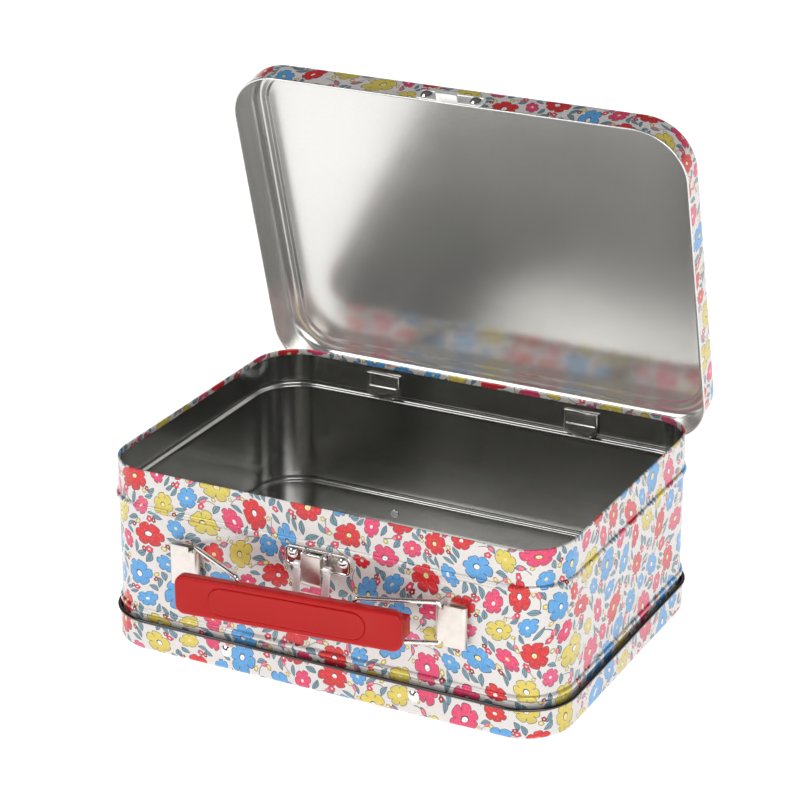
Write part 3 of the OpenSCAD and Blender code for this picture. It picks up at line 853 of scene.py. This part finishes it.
def rivet(bm, x, z, u, head_r, dome, shank_r, grip):
    """A domed rivet through the front wall with a rolled, hollow tail inside."""
    sphere = (head_r * head_r + dome * dome) / (2 * dome)
    top = math.asin(min(1.0, head_r / sphere))
    prof = [(0.0, -grip - 0.25), (shank_r * 0.55, -grip - 0.25), (shank_r * 0.62, -grip - 0.6)]
    tail, roll = shank_r + 0.7, 0.3
    for a in map(math.radians, (120, 90, 60, 30, 0)):
        prof.append((tail - roll + roll * math.cos(a), -grip - roll - roll * math.sin(a)))
    prof += [(tail, -grip), (shank_r, -grip), (shank_r, 0.0), (head_r, 0.0), (head_r, 0.08)]
    for i in range(1, 9):
        a = top * (1 - i / 8)
        prof.append((max(0.0, sphere * math.sin(a)), max(0.08, dome - sphere * (1 - math.cos(a)))))
    lathe(bm, prof, (x, -D / 2 - u, z), (0, -1, 0))


def soften(node, width, material):
    """A copy of a CAD piece with rolled edges in place of its sharp ones."""
    src = nodes[node]
    bm = bmesh.new()
    bm.from_mesh(src.data)
    bmesh.ops.remove_doubles(bm, verts=bm.verts[:], dist=1e-6)
    bmesh.ops.dissolve_limit(bm, angle_limit=math.radians(1.0), verts=bm.verts[:], edges=bm.edges[:])
    bmesh.ops.recalc_face_normals(bm, faces=bm.faces[:])
    for f in bm.faces:
        f.smooth = True
        f.material_index = 0
    ob = link_mesh(node + "_soft", bm, [material])
    b = ob.modifiers.new("bevel", "BEVEL")
    b.width = width * MM
    b.segments = 3
    b.limit_method = "ANGLE"
    b.angle_limit = math.radians(28)
    b.harden_normals = True
    apply_modifiers(ob)
    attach(ob, src["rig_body"])
    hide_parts(node)


for node in nodes:
    nodes[node].data.materials.clear()
    nodes[node].data.materials.append(M_RIVET if "pin" in node else M_NICKEL)

soften("latch_lever", 0.25, M_SATIN)
# the bail takes the bright nickel, a painted highlight
soften("latch_bail", 0.28, M_BAIL_LIT)
for part, width, material in (("handle_bracket", 0.3, M_SATIN), ("hinge_plate", 0.18, M_NICKEL),
                              ("lid_hinge_leaf", 0.18, M_NICKEL)):
    for side in ("_left", "_right"):
        soften(part + side, width, material)

# rivets: half the spacing, height, head radius, dome and shank radius
FRONT = -D / 2
LATCH_T = 0.8
LID_FACE = LID_GAP + T
CATCH_Z = 70.5
TRAY_FACE = TRAY_GAP + T
turned_back = Matrix.Rotation(math.pi, 4, "Z")
for node, x, z, u, head, dome, shank, grip, transform in (
        ("latch_rivets", 11.0, 59.4, LATCH_T, 2.45, 1.6, 1.1, LATCH_T + T, None),
        ("lid_catch_rivets", 11.0, CATCH_Z, LID_FACE + LATCH_T, 2.45, 1.3, 1.1, T + LATCH_T, lid_turn),
        ("base_rivets_front", 42.0, 8.8, TRAY_FACE, 2.6, 1.3, 1.3, TRAY_FACE + T, None),
        ("base_rivets_back", 42.0, 8.8, TRAY_FACE, 2.6, 1.3, 1.3, TRAY_FACE + T, turned_back)):
    bm = bmesh.new()
    for sx in (-1, 1):
        rivet(bm, sx * x, z, u, head, dome, shank, grip)
    finish_piece(node + "_domed", bm, M_RIVET, node, transform=transform)

# latch plate: lipped plate with two ears for the lever's pin
PLATE_W, PLATE_H, PLATE_R, PLATE_Z = 29.0, 8.8, 2.6, 57.9
EAR_X, EAR_T, EAR_R = 4.95, 0.8, 1.5
LEVER_U, LEVER_Z = 3.2, 60.8
bm = bmesh.new()
loft(bm, dished(PLATE_W, PLATE_H, PLATE_R, LATCH_T), (0, FRONT, PLATE_Z))
h, c = EAR_T / 2, 0.15
for sx in (-1, 1):
    x = sx * EAR_X
    block(bm, (x - h, FRONT - LEVER_U, LEVER_Z - EAR_R), (x + h, FRONT - 0.2, LEVER_Z + EAR_R), c)
    lathe(bm, [(0.0, -h), (EAR_R - c, -h), (EAR_R, c - h), (EAR_R, h - c), (EAR_R - c, h), (0.0, h)],
          (x, FRONT - LEVER_U, LEVER_Z), (1, 0, 0))
finish_piece("latch_plate_lipped", bm, M_NICKEL, "latch_plate")

# lid catch: lipped plate and a bent-out hook, built on the closed lid
CATCH_W, CATCH_H, CATCH_R = 30.0, 6.8, 2.0
HOOK_X, HOOK_OUT, HOOK_T, HOOK_Z, HOOK_H = 4.7, 4.6, 0.6, 66.7, 2.4
bm = bmesh.new()
face_y = FRONT - LID_FACE
tip_y = face_y - HOOK_OUT
loft(bm, dished(CATCH_W, CATCH_H, CATCH_R, LATCH_T, 0.6), (0, face_y, CATCH_Z))
block(bm, (-HOOK_X, tip_y, HOOK_Z), (HOOK_X, face_y, HOOK_Z + HOOK_T))
block(bm, (-HOOK_X, tip_y, HOOK_Z), (HOOK_X, tip_y + HOOK_T, HOOK_Z + HOOK_H))
# the lid catch takes the bright nickel, a painted highlight
finish_piece("lid_catch_lipped", bm, M_BAIL_LIT, "lid_catch", transform=lid_turn)

# grip: moulded front shell with a low raised panel, and its rear straps
GRIP_L, GRIP_H, GRIP_R, GRIP_X, GRIP_Z = 95.0, 16.6, 4.0, -2.6, 44.3
LINK_X, LINK_L, LINK_U = 54.3, 33.0, 2.6
LEFT_SWING, RIGHT_SWING = math.radians(29.5), math.radians(20.5)
BACK, FACE, FILLET = 2.2, 6.4, 1.2    # back edge and face in front of the links' bars
PANEL_IN, PANEL_R = (30.0, 5.5), 5.4
STRAP_IN, STRAP_BLOCK, STRAP_H, STRAP_BACK = 13.5, 2.4, 4.2, 3.6
bar_l = (-LINK_X + LINK_L * math.cos(LEFT_SWING), LINK_U + LINK_L * math.sin(LEFT_SWING))
bar_r = (LINK_X - LINK_L * math.cos(RIGHT_SWING), LINK_U + LINK_L * math.sin(RIGHT_SWING))
yaw = math.atan2(bar_l[1] - bar_r[1], bar_r[0] - bar_l[0])
grip_u = bar_l[1] - (GRIP_X - bar_l[0]) * math.tan(yaw)
grip_at = (GRIP_X * MM, (FRONT - grip_u) * MM, GRIP_Z * MM)
grip_turn = Matrix.Translation(grip_at) @ Matrix.Rotation(yaw, 4, "Z")


def inset(w, h, r, steps):
    """Rings of a rounded rectangle from (amount off its size, amount off its radius, distance outwards)."""
    return [(w - d, h - d, r - dr, out) for d, dr, out in steps]


rings = inset(GRIP_L, GRIP_H, GRIP_R, (
    (4.4, 2.0, 4.8), (3.6, 1.8, 4.7), (3.2, 1.6, 4.4), (3.2, 1.6, BACK + 0.3),
    (2.7, 1.4, BACK), (0.5, 0.25, BACK), (0.0, 0.0, BACK + 0.3)))
for i in range(8):
    a = math.radians(90 * i / 7)
    k = FILLET * (1 - math.cos(a))
    rings += inset(GRIP_L, GRIP_H, GRIP_R, ((2 * k, k, FACE - FILLET + FILLET * math.sin(a)),))
rings += inset(GRIP_L - PANEL_IN[0], GRIP_H - PANEL_IN[1], PANEL_R, (
    (-1.4, -0.6, FACE), (-1.0, -0.4, 6.3), (-0.6, -0.2, 6.15), (-0.2, 0.0, 6.45),
    (0.1, 0.1, 6.66), (0.6, 0.3, 6.7), (1.6, 0.7, 6.58)))
bm = bmesh.new()
loft(bm, rings)
for sx in (-1, 1):
    for x in (STRAP_IN, GRIP_L / 2 - STRAP_BLOCK):
        x0, x1 = sorted((sx * x, sx * (x + STRAP_BLOCK)))
        block(bm, (x0, -4.9, -STRAP_H), (x1, BACK + 0.1, STRAP_H), 0.3)
    x0, x1 = sorted((sx * STRAP_IN, sx * GRIP_L / 2))
    block(bm, (x0, BACK, -STRAP_H), (x1, STRAP_BACK, STRAP_H), 0.4)
finish_piece("handle_grip_moulded", bm, M_RED, "handle_grip", grip_turn, 50)


# ------------------------------------------------------------------ stage
def floor():
    """A pale floor that glows like a light table."""
    g = Graph("studio_floor")
    g.set(Base_Color=(0.5, 0.5, 0.5), Roughness=0.6, Emission_Color=(1, 1, 1), Emission_Strength=0.93)
    bm = bmesh.new()
    bmesh.ops.create_grid(bm, x_segments=2, y_segments=2, size=6.0)
    ob = link_mesh("floor", bm, [g.mat])


def area(name, at, to, size, power):
    """A rectangular lamp at a point, aimed at another. Metres and watts."""
    light = bpy.data.lights.new(name, "AREA")
    light.shape = "RECTANGLE"
    light.size, light.size_y = size
    light.energy = power
    ob = link_object(name, light)
    ob.location = at
    ob.rotation_euler = (Vector(to) - Vector(at)).to_track_quat("-Z", "Y").to_euler()
    return ob


def studio_world(strength, stops):
    """Surroundings coloured by height only: 0 straight down, 0.5 the horizon, 1 straight up."""
    world = bpy.data.worlds.new("studio")
    bpy.context.scene.world = world
    world.use_nodes = True
    tree = world.node_tree
    tree.nodes.clear()
    coord, split, span, ramp, sky, out = [tree.nodes.new("ShaderNode" + kind) for kind in (
        "TexCoord", "SeparateXYZ", "MapRange", "ValToRGB", "Background", "OutputWorld")]
    span.inputs[1].default_value = -1
    span.inputs[2].default_value = 1
    for a, b in ((coord.outputs["Generated"], split.inputs[0]), (split.outputs[2], span.inputs[0]),
                 (span.outputs[0], ramp.inputs[0]), (ramp.outputs[0], sky.inputs[0]),
                 (sky.outputs[0], out.inputs[0])):
        tree.links.new(a, b)
    elements = ramp.color_ramp.elements
    while len(elements) < len(stops):
        elements.new(0.5)
    for element, (height, colour) in zip(elements, stops):
        element.position = height
        element.color = colour
    sky.inputs[1].default_value = strength


floor()
area("key", (-1.1, -1.3, 1.5), (0, 0, 0.08), (1.2, 1.0), 12)
area("fill", (1.1, -1.3, 0.75), (0.05, 0, 0.12), (1.4, 0.9), 13)
overhead = area("overhead", (0.0, 0.2, 1.9), (0, 0, 0.0), (2.2, 2.2), 15)
overhead.visible_glossy = False
studio_world(1.1, [(0.50, (1.0, 1.0, 1.0, 1)), (0.55, (1.0, 1.0, 1.0, 1)),
                   (0.62, (0.05, 0.05, 0.052, 1)), (1.0, (0.10, 0.10, 0.105, 1))])

cam = bpy.data.cameras.new("camera")
cam.sensor_width = 36
cam.lens = 124.5
cam.clip_end = 50
cam_ob = link_object("camera", cam)
az, el, dist = math.radians(26.93), math.radians(22.23), 1.1182
target = Vector((-0.0004, -0.0031, 0.0992))
back = Vector((math.sin(az) * math.cos(el), -math.cos(az) * math.cos(el), math.sin(el)))
cam_ob.location = target + back * dist
cam_ob.rotation_euler = (-back).to_track_quat("-Z", "Y").to_euler()
bpy.context.scene.camera = cam_ob
bpy.context.scene.view_settings.view_transform = "Standard"
bpy.context.scene.view_settings.look = "None"
